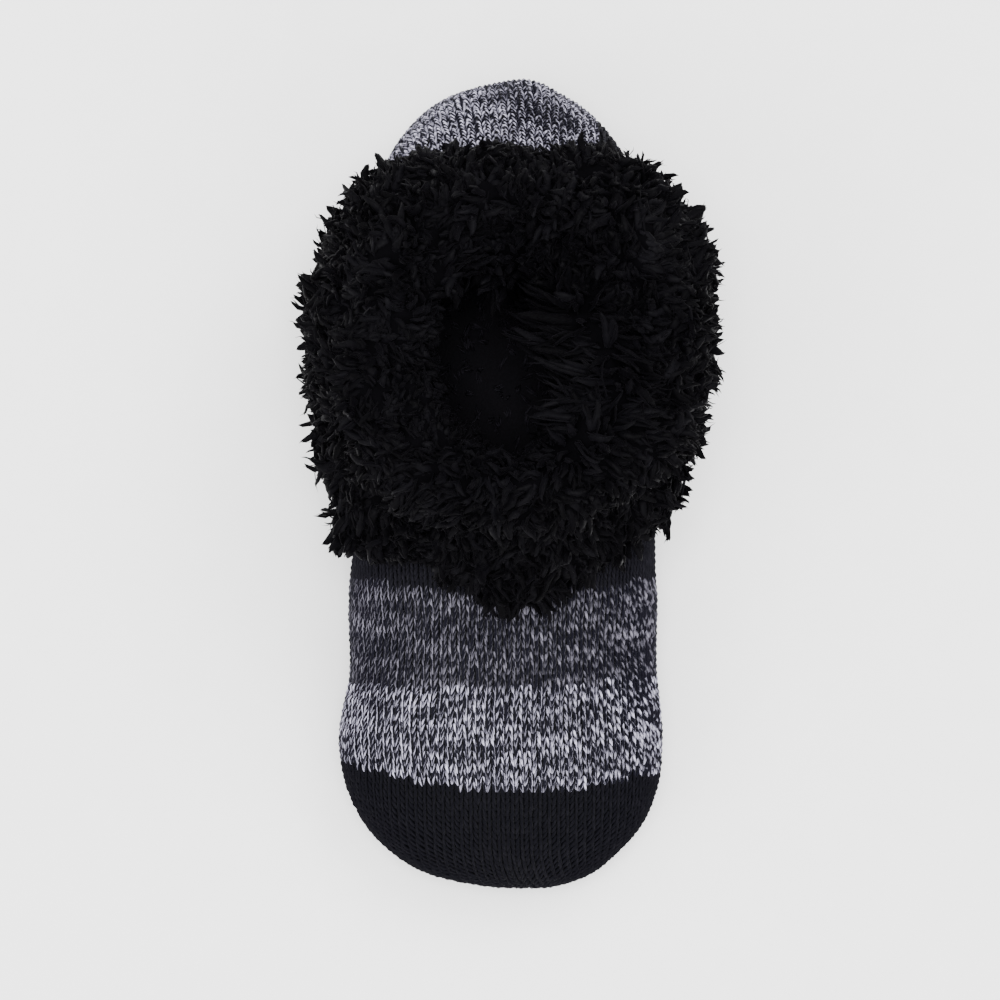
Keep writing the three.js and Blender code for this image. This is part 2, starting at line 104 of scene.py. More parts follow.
# Plan of the sole as shares: y, left, right
SOLE_PLAN = np.array([
    (0.033, 0.04, 0.22), (0.042, 0.3, 0.42), (0.06, 0.5, 0.54), (0.09, 0.665, 0.66),
    (0.13, 0.765, 0.755), (0.19, 0.795, 0.785), (0.28, 0.745, 0.75), (0.4, 0.715, 0.72),
    (0.54, 0.69, 0.71), (0.68, 0.66, 0.7), (0.79, 0.61, 0.67), (0.86, 0.51, 0.58),
    (0.905, 0.36, 0.43), (0.93, 0.1, 0.17),
])
FOREFOOT_FLAT = (0.11, 0.4)
HEEL_FLAT = (0.68, 0.85)

# The cuff every 30 degrees from the throat over the right side: fold, bulk, lining, hang
CUFF_ROWS = np.array([
    (1.32, 0.75, 0.6, 1.1),
    (1.24, 0.85, 0.75, 1.05),
    (1.44, 1.1, 1.15, 1),
    (1.14, 1.1, 1.6, 1),
    (0.85, 1.12, 1.8, 1),
    (0.6, 0.8, 1.75, 0.85),
    (0.45, 0.45, 1.6, 0.7),
    (0.6, 0.8, 1.2, 0.85),
    (0.95, 0.9, 0.9, 1),
    (1.45, 1, 0.8, 1),
    (1.8, 1.3, 0.7, 1.1),
    (1.2, 0.95, 0.6, 1),
])
CUFF_PROFILE = [(0.0, 0.88), (0.25, 1.06), (0.55, 1.1), (0.84, 0.86), (1.0, 0.4)]
LINING_PROFILE = [(0.95, 0.5), (0.6, 1.0), (0.25, 1.0)]
LUMPS, LUMP = 8, 0.1

# Where the fleece swells: degrees and width round the collar, place and width from the lining
# to the lower edge as shares, and how far it stands out
SWELLS = [
    (58, 20, 0.95, 0.3, 4.5),
    (303, 20, 0.95, 0.3, 4.0),
    (190, 17, 0.3, 0.13, 12.0),
    (92, 32, 0.24, 0.16, 6.5),
]

# Main creases, each from one point to another, with its width and how far it stands out
# x, y, z, x, y, z, width, out
CREASES = np.array([
    (-34, -46, 40, -8, -34, 53, 9, -1.6),
    (38, -50, 38, 12, -40, 53, 8, -1.3),
    (-46, -20, 22, -47, 22, 30, 8, -1.3),
    (47, -24, 24, 46, 30, 34, 9, -1.2),
    (-44, -62, 32, -30, -66, 42, 10, 0.9),
    (30, -74, 40, 44, -70, 28, 10, 0.8),
    (-30, 100, 40, -10, 122, 34, 8, -1.2),
    (-3, 126, 40, -2, 112, 66, 6, -1.6),
    (34, 96, 46, 18, 118, 38, 7, -1.0),
    (6, 112, 60, 8, 124, 30, 7, 0.8),
    (-14, -108, 18, 20, -110, 20, 12, -0.8),
], dtype=float)

STITCH_WIDTH = 2.8
HEEL_STREAK = np.array([-3.0, 246.0])  # where the darker streak over the heel starts
STREAK_WAY = np.array([20.0, -11.0])
STREAK_WIDTH = 5.0
WIDEST_STITCH = 1.6  # how many times its width a stitch stretches over the heel
COURSE = 2.05
HEEL_STITCH_WIDTH = 2.1  # the heel's marl looks finer than the bands
HEEL_COURSE = 1.75
WIDEST_ROW = 7  # the section across the ball, where the wales are counted
FIRST_COURSE = 8.0  # the section from which courses are counted both ways
UNDER_CUFF = 9.0  # how far the stitches go on under the cuff

# Where the bands end along the middle, in millimetres from the tip of the toe
TOE_END = 32
LIGHT_END = 64
GREY_END = 93
HEEL_START = 200
HEEL_SIDE = 27  # the heel's marl ends this far to the right of the middle
PLY_PITCH = 6.4  # length of yarn in which its two plies turn once round each other


def blend4(a, b, c, d, u):
    return 0.5 * (2 * b + (c - a) * u + (2 * a - 5 * b + 4 * c - d) * u * u
                  + (3 * b - a - 3 * c + d) * u ** 3)


def column(table, k, t):
    """A column of a table at fractional rows."""
    last = len(table) - 1
    row = np.clip(np.floor(t).astype(int), 0, last - 1)
    at = [table[np.clip(row + j, 0, last), k] for j in (-1, 0, 1, 2)]
    return blend4(*at, t - row)


def cuff_column(k, angle):
    """A column of the cuff's table at angles, closed round the collar."""
    count = len(CUFF_ROWS)
    t = (angle / (2 * np.pi)) % 1 * count
    row = np.floor(t).astype(int)
    at = [CUFF_ROWS[(row + j) % count, k] for j in (-1, 0, 1, 2)]
    return blend4(*at, t - row)


def rounded(value, exponent):
    return np.sign(value) * np.abs(value) ** (2 / exponent)


def unit(v):
    return v / np.maximum(np.linalg.norm(v, axis=-1, keepdims=True), 1e-9)


def along_points(p, axis=0):
    """Distance along rows of points, from 0."""
    steps = np.linalg.norm(np.diff(p, axis=axis), axis=-1)
    start = np.zeros_like(np.take(steps, [0], axis=axis))
    return np.concatenate([start, np.cumsum(steps, axis=axis)], axis=axis)


def skin(t, angle):
    """The knitted surface: t counts sections, angle runs from the top over the right side."""
    t, angle = np.broadcast_arrays(np.asarray(t, float), np.asarray(angle, float))
    top_y, vamp, rise, base_y, base_z, half, lean, belly, crown, base = (
        column(SECTIONS, k, t) for k in range(10))
    upward = np.cos(angle)
    exponent = np.where(upward >= 0, crown, base)
    reach = np.where(upward >= 0, 1 - belly, belly)
    share = belly + reach * rounded(upward, exponent)
    top_z = vamp * VAMP_HEIGHT + rise * COLLAR_RISE
    y = (base_y + (top_y - base_y) * share) * LENGTH
    z = base_z * COLLAR_HEIGHT + (top_z - base_z * COLLAR_HEIGHT) * share
    x = lean * HALF_WIDTH + np.maximum(half, 0) * HALF_WIDTH * rounded(np.sin(angle), exponent)
    return np.stack([x, y, np.maximum(z, 0)], axis=-1) + ORIGIN


def toe_in_frame():
    """Where the middle of the toe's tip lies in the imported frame, from the box of its upper."""
    own = skin(np.linspace(0, RIM, 400)[:, None], np.linspace(0, 2 * np.pi, 181)).reshape(-1, 3)
    low, high = (np.array(corner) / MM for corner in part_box("upper"))
    shift = (low + high - own.min(axis=0) - own.max(axis=0)) / 2
    return np.array([shift[0], shift[1], 0.0])


ORIGIN = np.zeros(3)
ORIGIN = toe_in_frame()


def outward(t, angle):
    """Unit vector out of the knitted surface."""
    step = 0.04
    t = np.asarray(t, float)
    t0 = np.maximum(t - step, step / 4)
    t1 = np.minimum(t + step, RIM)
    along = skin(t1, angle) - skin(t0, angle)
    beside = skin((t0 + t1) / 2, angle + step) - skin((t0 + t1) / 2, angle - step)
    return -unit(np.cross(along, beside))


def creases(p):
    """How far the main creases push the knit out at points p."""
    out = np.zeros(p.shape[:-1])
    for row in CREASES:
        a, b, width, amount = row[0:3], row[3:6], row[6], row[7]
        along = b - a
        share = np.clip(((p - a) @ along) / (along @ along), 0, 1)
        gap = np.linalg.norm(p - (a + share[..., None] * along), axis=-1)
        out += amount * np.exp(-(gap / width) ** 2)
    return out


def smooth_noise(p, scale, seed):
    """Soft repeatable noise from -1 to 1 at points p."""
    rng = np.random.default_rng(seed)
    total = np.zeros(p.shape[:-1])
    for _ in range(6):
        way = unit(rng.normal(size=3)) * rng.uniform(0.6, 1.4) / scale
        total += np.sin(p @ way * 2 * np.pi + rng.uniform(0, 6.28))
    return total / 3.2


def fabric(t, angle):
    """The knitted surface with its creases and a slight unevenness."""
    p = skin(t, angle)
    out = creases(p) + 0.35 * smooth_noise(p, 46, 5)
    out = out * np.clip(p[..., 2] / 12, 0, 1)
    return p + outward(t, angle) * out[..., None]


def underside(y):
    """Height of the sole's underside above the floor at y in millimetres from the toe."""
    share = y / LENGTH

    def ease(a, b):
        u = np.clip((share - a) / (b - a), 0, 1)
        return u * u * (3 - 2 * u)

    front = 1 - ease(SOLE_PLAN[0, 0], FOREFOOT_FLAT[0])
    middle = (FOREFOOT_FLAT[1] + HEEL_FLAT[0]) / 2
    arch = np.where(share < middle, ease(FOREFOOT_FLAT[1], middle), 1 - ease(middle, HEEL_FLAT[0]))
    back = ease(HEEL_FLAT[1], SOLE_PLAN[-1, 0])
    return TOE_SPRING * front + ARCH_LIFT * arch + HEEL_SPRING * back


def sole_side(y, k):
    """The sole's left or right edge at y in millimetres from the toe."""
    steps = np.linspace(0, len(SOLE_PLAN) - 1, 400)
    ys = column(SOLE_PLAN, 0, steps) * LENGTH
    edge = column(SOLE_PLAN, k, steps) * HALF_WIDTH
    return np.interp(y, ys, edge, left=-1, right=-1)


def facing_out(verts, faces):
    """The faces of a closed surface, turned so that their normals point out of it."""
    volume = 0.0
    for f in faces:
        for k in range(1, f.shape[1] - 1):
            volume += np.sum(verts[f[:, 0]] * np.cross(verts[f[:, k]], verts[f[:, k + 1]]))
    return faces if volume > 0 else [f[:, ::-1] for f in faces]


def new_object(name, data):
    made = bpy.data.objects.new(name, data)
    bpy.context.scene.collection.objects.link(made)
    return made


def piece(name, verts, faces, material, **attributes):
    """A mesh object from points in millimetres and index arrays of triangles or quads."""
    mesh = bpy.data.meshes.new(name)
    faces = facing_out(verts, faces if isinstance(faces, list) else [faces])
    verts = np.asarray(verts, float) * MM
    mesh.vertices.add(len(verts))
    mesh.vertices.foreach_set("co", verts.astype(np.float32).ravel())
    loops = np.concatenate([f.ravel() for f in faces]).astype(np.int32)
    sizes = np.concatenate([np.full(len(f), f.shape[1]) for f in faces])
    mesh.loops.add(len(loops))
    mesh.loops.foreach_set("vertex_index", loops)
    mesh.polygons.add(len(sizes))
    starts = np.concatenate([[0], np.cumsum(sizes)[:-1]]).astype(np.int32)
    mesh.polygons.foreach_set("loop_start", starts)
    mesh.update(calc_edges=True)
    mesh.shade_smooth()
    for key, values in attributes.items():
        layer = mesh.attributes.new(key, "FLOAT", "POINT")
        layer.data.foreach_set("value", np.asarray(values, np.float32).ravel())
    mesh.materials.append(material)
    made = new_object(name, mesh)
    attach(made, "root")
    return made


def ring_faces(rows, cols):
    """Quads between rows of points, each row a closed ring of cols points."""
    r = np.arange(rows - 1)[:, None]
    c = np.arange(cols)
    n = (c + 1) % cols
    quad = np.stack([r * cols + c, r * cols + n, (r + 1) * cols + n, (r + 1) * cols + c], axis=-1)
    return quad.reshape(-1, 4)


def fan(tip, ring, flip=False):
    """Triangles from a tip to a ring of points."""
    tips = np.full(len(ring), tip)
    after = np.roll(ring, -1)
    return np.stack([tips, after, ring] if flip else [tips, ring, after], axis=1)


def capped(rows):
    """Points and faces of a surface through closed rows of points, with a fan at each end."""
    verts = rows.reshape(-1, 3)
    last = len(verts)
    sides = rows.shape[1]
    ring = np.arange(sides)
    caps = np.concatenate([fan(last, ring, flip=True), fan(last + 1, last - sides + ring)])
    verts = np.concatenate([verts, [rows[0].mean(axis=0)], [rows[-1].mean(axis=0)]])
    return verts, [ring_faces(len(rows), sides), caps]


def tubes(centres, sideways, normals, half, deep, sides):
    """Closed tapered tubes: points, triangles at the ends, quads and how many points each has.
    centres is (n, rings, 3) with its first and last ring as poles."""
    n, rings, _ = centres.shape
    turn = np.arange(sides) / sides * 2 * np.pi + np.pi / 2
    inner = centres[:, 1:-1]
    body = (inner[:, :, None, :]
            + np.cos(turn)[None, None, :, None] * (sideways * half[..., None])[:, 1:-1, None, :]
            + np.sin(turn)[None, None, :, None] * (normals * deep[..., None])[:, 1:-1, None, :])
    k = rings - 2
    verts = np.concatenate([centres[:, :1], body.reshape(n, k * sides, 3), centres[:, -1:]], axis=1)
    count = k * sides + 2
    ring = np.arange(sides) + 1
    base = (np.arange(n) * count)[:, None, None]
    ends = np.concatenate([fan(0, ring, flip=True), fan(count - 1, (k - 1) * sides + ring)])
    tris = (ends + base).reshape(-1, 3)
    quads = (ring_faces(k, sides) + 1 + base).reshape(-1, 4)
    return verts.reshape(-1, 3), tris, quads, count


def strands(middle, up, half, deep, sides):
    """Tubes along lines of points, with their broad side across the way up."""
    line = unit(np.gradient(middle, axis=1))
    sideways = unit(np.cross(line, up))
    return tubes(middle, sideways, np.cross(line, sideways), half, deep, sides)


def per_point(values, sides):
    """A value for each point of tubes from one for each of their rings."""
    body = np.repeat(values[:, 1:-1], sides, axis=1)
    return np.concatenate([values[:, :1], body, values[:, -1:]], axis=1)


class Look:
    """A material and short ways to add nodes to it."""

    def __init__(self, name):
        self.material = bpy.data.materials.new(name)
        self.material.use_nodes = True
        self.nodes = self.material.node_tree.nodes
        self.links = self.material.node_tree.links
        self.shader = self.nodes["Principled BSDF"]

    def feed(self, socket, value):
        if isinstance(value, bpy.types.NodeSocket):
            self.links.new(value, socket)
        else:
            socket.default_value = value

    def attribute(self, name):
        node = self.nodes.new("ShaderNodeAttribute")
        node.attribute_name = name
        return node.outputs["Fac"]

    def place(self):
        return self.nodes.new("ShaderNodeTexCoord").outputs["Object"]

    def noise(self, place, scale, detail=3.0, rough=0.6):
        node = self.nodes.new("ShaderNodeTexNoise")
        values = {"Vector": place, "Scale": scale, "Detail": detail, "Roughness": rough}
        for name, value in values.items():
            self.feed(node.inputs[name], value)
        return node.outputs["Fac"]

    def ramp(self, value, stops):
        node = self.nodes.new("ShaderNodeValToRGB")
        while len(node.color_ramp.elements) < len(stops):
            node.color_ramp.elements.new(0.5)
        for element, (at, colour) in zip(node.color_ramp.elements, stops):
            element.position = at
            element.color = (*colour, 1)
        self.links.new(value, node.inputs["Fac"])
        return node.outputs["Color"]

    def combine(self, operation, *values):
        node = self.nodes.new("ShaderNodeMath")
        node.operation = operation
        for socket, value in zip(node.inputs, values):
            self.feed(socket, value)
        return node.outputs[0]

    def bump(self, height, distance, strength):
        node = self.nodes.new("ShaderNodeBump")
        node.inputs["Distance"].default_value = distance
        node.inputs["Strength"].default_value = strength
        self.links.new(height, node.inputs["Height"])
        self.links.new(node.outputs["Normal"], self.shader.inputs["Normal"])

    def shade(self, colour, roughness, **others):
        """Sets the shader. A name in others stands for a socket's name, as in Sheen_Weight."""
        self.links.new(colour, self.shader.inputs["Base Color"])
        self.feed(self.shader.inputs["Roughness"], roughness)
        for name, value in others.items():
            self.feed(self.shader.inputs[name.replace("_", " ")], value)


def yarn_material(name, dark, light, share, sheen=0.03, gloss=0.05):
    """Marled yarn. The attribute ply counts the turns of its dark and its light ply round each
    other, tone varies slowly from stitch to stitch, and share is how much of it is light."""
    look = Look(name)
    place = look.place()
    fibres = look.noise(place, 2400, 3.0, 0.7)
    clumps = look.noise(place, 420, 2.0)
    wave = look.combine("SINE", look.combine("MULTIPLY", look.attribute("ply"), 2 * math.pi))
    lift = look.combine("MULTIPLY_ADD", look.attribute("tone"), 0.42, share)
    lift = look.combine("MULTIPLY_ADD", clumps, 0.5, lift)
    lift = look.combine("MULTIPLY_ADD", fibres, 0.6, lift)
    value = look.combine("MULTIPLY_ADD", wave, 0.42, lift)
    dull = tuple(0.86 * a + 0.14 * b for a, b in zip(dark, light))
    pale = tuple(0.58 * a + 0.42 * b for a, b in zip(dark, light))
    look.shade(look.ramp(value, [(0.28, dark), (0.46, dull), (0.7, pale), (1.0, light)]),
               look.combine("MULTIPLY_ADD", fibres, 0.25, 0.72),
               Sheen_Weight=sheen, Sheen_Roughness=0.45, Specular_IOR_Level=gloss)
    look.bump(look.combine("MULTIPLY_ADD", wave, 0.25, fibres), 0.00022, 0.9)
    return look.material


def pile_material(name, low, high, tint, sheen, rough, grain, gloss):
    """Short pile and plain ground, from one colour to the other with the attribute tone."""
    look = Look(name)
    fibres = look.noise(look.place(), grain, 3.0, 0.65)
    tone = look.combine("ADD", look.attribute("tone"), -0.15)
    tone = look.combine("MULTIPLY_ADD", fibres, 0.3, tone)
    look.shade(look.ramp(tone, [(0.1, low), (0.9, high)]),
               look.combine("MULTIPLY_ADD", fibres, 0.2, rough),
               Sheen_Weight=sheen, Sheen_Roughness=0.4, Sheen_Tint=(*tint, 1),
               Specular_IOR_Level=gloss)
    look.bump(fibres, 0.0002, 0.7)
    return look.material


def lock_material(name, low, high, tint, gloss):
    """Locks of fleece with fine fibres that run along them, from the attributes run and side."""
    look = Look(name)
    join = look.nodes.new("ShaderNodeCombineXYZ")
    look.feed(join.inputs["X"], look.combine("MULTIPLY", look.attribute("run"), 0.16))
    look.feed(join.inputs["Y"], look.combine("MULTIPLY", look.attribute("side"), 1.5))
    look.feed(join.inputs["Z"], look.attribute("number"))
    fibres = look.noise(join.outputs["Vector"], 1.6, 3.0, 0.7)
    tone = look.combine("ADD", look.attribute("tone"), -0.4)
    tone = look.combine("MULTIPLY_ADD", fibres, 0.8, tone)
    look.shade(look.ramp(tone, [(0.1, low), (0.9, high)]),
               look.combine("MULTIPLY_ADD", fibres, 0.3, 0.32),
               Sheen_Weight=0.01, Sheen_Roughness=0.4, Sheen_Tint=(*tint, 1),
               Specular_IOR_Level=gloss)
    look.bump(fibres, 0.0006, 1.0)
    return look.material


def grip_material():
    """Dull rubber with a fine speck."""
    look = Look("grip_dots")
    speck = look.noise(look.place(), 900)
    look.shade(look.ramp(speck, [(0.3, (0.009, 0.009, 0.011)), (0.7, (0.015, 0.015, 0.018))]),
               look.combine("MULTIPLY_ADD", speck, 0.2, 0.38),
               Coat_Weight=0.15, Coat_Roughness=0.4)
    look.bump(speck, 0.00008, 0.6)
    return look.material


NAVY = (0.0038, 0.0036, 0.0070)
GREYISH = (0.5, 0.5, 0.6)
LIGHT_MARL = yarn_material("yarn_light_marl", NAVY, (0.55, 0.53, 0.67), -0.45)
GREY_MARL = yarn_material("yarn_grey_marl", NAVY, (0.158, 0.150, 0.187), -0.44)
# Painted light: the black yarn made lighter for the ankle, to lift the shade that the cuff casts over
# it.
ANKLE_PAINTED_LIGHT = yarn_material("yarn_ankle_painted_light", (0.0052, 0.0050, 0.0072), (0.0085, 0.0080, 0.0112),
                      -0.3, 0.01, 0.03)
BLACK = yarn_material("yarn_black", (0.0033, 0.0032, 0.0048), (0.0056, 0.0053, 0.0075),
                      -0.3, 0.01, 0.025)
GROUND = pile_material("knit_ground", (0.0028, 0.0028, 0.0040), (0.04, 0.037, 0.046),
                       GREYISH, 0.01, 0.85, 1800, 0.03)
# Painted light: the first colour, for the locks' roots, is lighter than the second, for their tips, to
# lift the shade the roots lie in.
FLEECE_WITH_PAINTED_LIGHT = lock_material("fleece_locks", (0.0033, 0.0031, 0.0040), (0.0011, 0.0010, 0.0013),
                       (0.62, 0.56, 0.70), 0.017)
# Painted shade: the base under the locks is coloured darker than they are, so that it looks like
# shadow where it shows between them.
FLEECE_BASE_PAINTED_SHADE = pile_material("fleece_base_painted_shade", (0.0010, 0.0009, 0.0012), (0.0016, 0.0015, 0.0019),
                            GREYISH, 0.0, 0.9, 900, 0.01)
# Painted light: the strands take the lighter colour and the pad the darker, to make up for the light
# that the strands' sides miss.
PILE_WITH_PAINTED_LIGHT = pile_material("insole_pile", (0.0034, 0.0031, 0.0041), (0.020, 0.018, 0.024),
                     (0.6, 0.55, 0.68), 0.005, 0.6, 1800, 0.03)
SOLE_KNIT = yarn_material("sole_knit", (0.0035, 0.0035, 0.005), (0.011, 0.011, 0.0145),
                          -0.26, 0.015, 0.05)
GRIP = grip_material()


def wale_angles(width):
    """For each wale of stitches of one width: its number, its angle at each of many sections,
    which sections it reaches, and how far its stitches stretch sideways there."""
    ts = np.linspace(0.12, RIM, 900)
    turns = np.linspace(0, np.pi, 241)
    p = skin(ts[:, None], turns)
    arc = along_points(p, axis=1)
    side = arc[:, len(turns) // 2]
    under = arc[:, -1] - side
    widest = int(np.argmin(np.abs(ts - WIDEST_ROW)))
    wales = []
    for length, from_top in ((side, True), (under, False)):
        count = int(round(length[widest] / width))
        for i in range(count):
            s = (i + 0.5) / count * length
            s[:widest] = (i + 0.5) / count * length[widest]
            reach = s < length - 0.35 * width
            reach[widest:] = True
            place = s if from_top else arc[:, -1] - s
            angle = np.array([np.interp(place[k], arc[k], turns) for k in range(len(ts))])
            stretch = np.clip(length / length[widest], 1, WIDEST_STITCH)
            number = i + 0.5 if from_top else -(i + 0.5) - 100
            wales.append((number, angle, reach, stretch))
    return ts, wales


def stitch_places(width, course):
    """Section number, angle, course, wale, distance below the rim and sideways stretch of
    every stitch on both sides of the sock, for stitches of one width and course."""
    ts, wales = wale_angles(width)
    found = []
    for mirror in (1, -1):
        for number, angle, reach, stretch in wales:
            p = skin(ts, angle * mirror)
            run = along_points(p)
            run = run - np.interp(FIRST_COURSE, ts, run)
            low = run[reach][0]
            courses = np.arange(math.ceil(low / course), math.floor(run[-1] / course))
            t = np.interp(courses * course, run, ts)
            a = np.interp(t, ts, angle) * mirror
            depth = run[-1] - courses * course
            wide = np.interp(t, ts, stretch)
            wale = np.full(len(t), number * mirror)
            found.append(np.stack([t, a, courses, wale, depth, wide], axis=1))
    return np.concatenate(found)


def stitch_band(p):
    """Which yarn a stitch at p has: 0 light marl, 1 grey marl, 2 black."""
    x, y, z = p[..., 0] - ORIGIN[0], p[..., 1] - ORIGIN[1], p[..., 2]
    across = np.clip(x / HALF_WIDTH, -1, 1)
    toe = TOE_END + 6.5 * across ** 2 - 1.2 * across
    light = LIGHT_END + 1.5 * across ** 2 + 1.2 * across
    grey = GREY_END + 5 * across ** 2
    heel = HEEL_START + 0.25 * z + 0.5 * np.maximum(x, 0)
    band = np.full(p.shape[:-1], 2)
    band[(y > toe) & (y <= light)] = 0
    band[(y > light) & (y <= grey)] = 1
    band[(y > heel) & (x < HEEL_SIDE)] = 0
    return band


def in_sole(p, margin):
    """Whether p lies within the sole's outline, let out by a margin."""
    x, y = p[..., 0] - ORIGIN[0], p[..., 1] - ORIGIN[1]
    left, right = sole_side(y, 1), sole_side(y, 2)
    inside = (x > -left - margin) & (x < right + margin) & (left > 0)
    return inside & (p[..., 2] < SOLE_THICKNESS + 1)


def lay_stitches(places):
    """Frames of the stitches: centre, unit vectors across, along and out."""
    t, a = places[:, 0], places[:, 1]
    centre = fabric(t, a)
    dt, da = 0.05, 0.02
    along = unit(fabric(np.minimum(t + dt, RIM), a) - fabric(np.maximum(t - dt, 0.02), a))
    around = fabric(t, a + da) - fabric(t, a - da)
    out = -unit(np.cross(along, around))
    across = unit(np.cross(along, out))
    return centre, across, along, out


RNG = np.random.default_rng(7)


def stitches(width, course):
    """Places, frames, bands and distances from the toe of the stitches that the cuff and the
    sole leave in view."""
    places = stitch_places(width, course)
    frames = lay_stitches(places)
    centre = frames[0]
    fold = cuff_column(0, places[:, 1]) * CUFF_FOLD
    seen = (places[:, 4] > fold - UNDER_CUFF) & ~in_sole(centre, 0.9) & (centre[:, 2] > 0.4)
    values = (places, *frames, stitch_band(centre), centre[:, 1] - ORIGIN[1])
    return [v[seen] for v in values]


LEG = np.array([0.0, 0.16, 0.5, 0.84, 1.0])
LEG_WIDTH = np.array([0, 0.72, 1.0, 0.8, 0])
PLY_ROUND = np.array([0.0, -0.25, -0.5, -0.75])  # turn of the plies at each side of a leg


def slow_tone(q, seed):
    """Repeatable soft noise from 0 to 1 along the number line."""
    table = np.random.default_rng(seed).uniform(0, 1, 4096)
    k = np.floor(q).astype(int)
    u = q - k
    u = u * u * (3 - 2 * u)
    return table[k % 4096] * (1 - u) + table[(k + 1) % 4096] * u


def heel_shade(p):
    """How much darker the marl is along a slanting streak over the heel."""
    q = p[..., :2] - ORIGIN[:2] - HEEL_STREAK
    share = np.clip(q @ STREAK_WAY / (STREAK_WAY @ STREAK_WAY), 0, 1)
    gap = np.linalg.norm(q - share[..., None] * STREAK_WAY, axis=-1)
    return np.exp(-(gap / STREAK_WIDTH) ** 2)


def stitch_mesh(laid, width, course, reach, taper, half, lift):
    """The two legs of each stitch, as closed tapered tubes. A leg is reach courses long and
    comes nearer to the other by the taper, as a share of the stitch's width."""
    places, centre, across, along, out = laid
    n = len(places)
    parts = []
    start = 0
    for leg in (-1, 1):
        wobble = RNG.normal(size=(n, 4))
        stretch = places[:, 5][:, None]
        x = leg * width * stretch * (0.27 + taper * (0.5 - LEG)) + 0.08 * wobble[:, :1]
        y = course * reach * (LEG - 0.47) * (1 + 0.04 * wobble[:, 1:2]) + 0.08 * wobble[:, 2:3]
        h = (-0.25 + 0.62 * np.sin(np.pi * np.clip(LEG * 0.94 + 0.03, 0, 1)))
        h = h + 0.06 * wobble[:, 3:4]
        c, l, f, o = (v[:, None, :] for v in (centre, across, along, out))
        mid = c + l * x[..., None] + f * y[..., None] + o * h[..., None]
        slant = unit(np.diff(mid, axis=1, prepend=mid[:, :1] * 2 - mid[:, 1:2]))
        sideways = unit(np.cross(slant, np.broadcast_to(o, slant.shape)))
        size = 1 + 0.07 * RNG.normal(size=(n, 1))
        wide = half * LEG_WIDTH * size * stretch
        deep = 0.6 * LEG_WIDTH * size
        verts, tris, quads, count = tubes(mid, sideways, np.broadcast_to(o, slant.shape), wide, deep,
                                           len(PLY_ROUND))
        row, wale = places[:, 2], places[:, 3]
        length = 2 * course * LEG / PLY_PITCH
        start_turn = 37.0 * slow_tone(row * 7.13 + wale * 0.9 + leg * 0.31, 3)
        turn = start_turn[:, None] + length
        turn = per_point(turn, len(PLY_ROUND))
        turn[:, 1:-1] += np.tile(PLY_ROUND, len(LEG) - 2)
        tone = slow_tone(row * 11.7 + wale * 0.37 + leg * 0.1, 11) + 0.14 * leg
        tone = tone + lift - 0.5 * heel_shade(centre)
        parts.append((verts, tris + start, quads + start, turn.ravel(), np.repeat(tone, count)))
        start += len(verts)
    verts, tris, quads, turn, tone = (np.concatenate(pair) for pair in zip(*parts))
    return verts, [tris, quads], turn, tone


def knit(name, yarn, laid, pick, shape):
    """One band of the knit, of the picked stitches."""
    verts, faces, turn, tone = stitch_mesh([v[pick] for v in laid[:5]], **shape)
    made = piece(name, verts, faces, yarn, ply=turn, tone=tone)
    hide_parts("upper")


STITCH = {"width": STITCH_WIDTH, "course": COURSE, "reach": 1.95, "taper": 0.3,
          "half": 0.58, "lift": 0.0}
HEEL_STITCH = {"width": HEEL_STITCH_WIDTH, "course": HEEL_COURSE, "reach": 0.9, "taper": 0.6,
               "half": 0.39, "lift": 0.1}
laid = stitches(STITCH_WIDTH, COURSE)
bands, y_toe = laid[5:]
knit("knit_toe", BLACK, laid, (bands == 2) & (y_toe < GREY_END), STITCH)
knit("knit_light_band", LIGHT_MARL, laid, (bands == 0) & (y_toe < GREY_END), STITCH)
knit("knit_grey_band", GREY_MARL, laid, bands == 1, STITCH)
# The ankle's stitches take the black yarn painted lighter against the cuff's shadow.
knit("knit_ankle", ANKLE_PAINTED_LIGHT, laid, (bands == 2) & (y_toe >= GREY_END), STITCH)
laid = stitches(HEEL_STITCH_WIDTH, HEEL_COURSE)
bands, y_toe = laid[5:]
knit("knit_heel", LIGHT_MARL, laid, (bands == 0) & (y_toe >= GREY_END), HEEL_STITCH)


def wall():
    """A closed wall: the ground of the knit outside, short pile inside."""
    ts = np.concatenate([np.linspace(0.05, 4, 26), np.linspace(4.25, RIM, 74)])
    cols = 120
    turns = np.linspace(0, 2 * np.pi, cols + 1)[:-1]
    normal = outward(ts[:, None], turns)
    outer = fabric(ts[:, None], turns) - normal * 0.45
    inner = (skin(ts[:, None], turns) - normal * KNIT_WALL)[::-1]
    tip = skin(0.0, 0.0)[None]
    verts = np.concatenate([outer.reshape(-1, 3), inner.reshape(-1, 3),
                            tip + (0, 0.4, 0), tip + (0, KNIT_WALL, 0)])
    rows = 2 * len(ts)
    faces = ring_faces(rows, cols)
    last = rows * cols
    ring = np.arange(cols)
    front = fan(last, ring, flip=True)
    back = fan(last + 1, last - cols + ring)
    middle = verts[faces].mean(axis=1)
    keep = ~in_sole(middle, -1.0)
    inside = np.arange(len(verts)) >= len(ts) * cols
    inside[last] = False
    return verts, [faces[keep], front, back], inside.astype(float)


verts, faces, inner = wall()
ground = piece("knit_ground", verts, faces, GROUND, tone=inner)
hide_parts("upper")


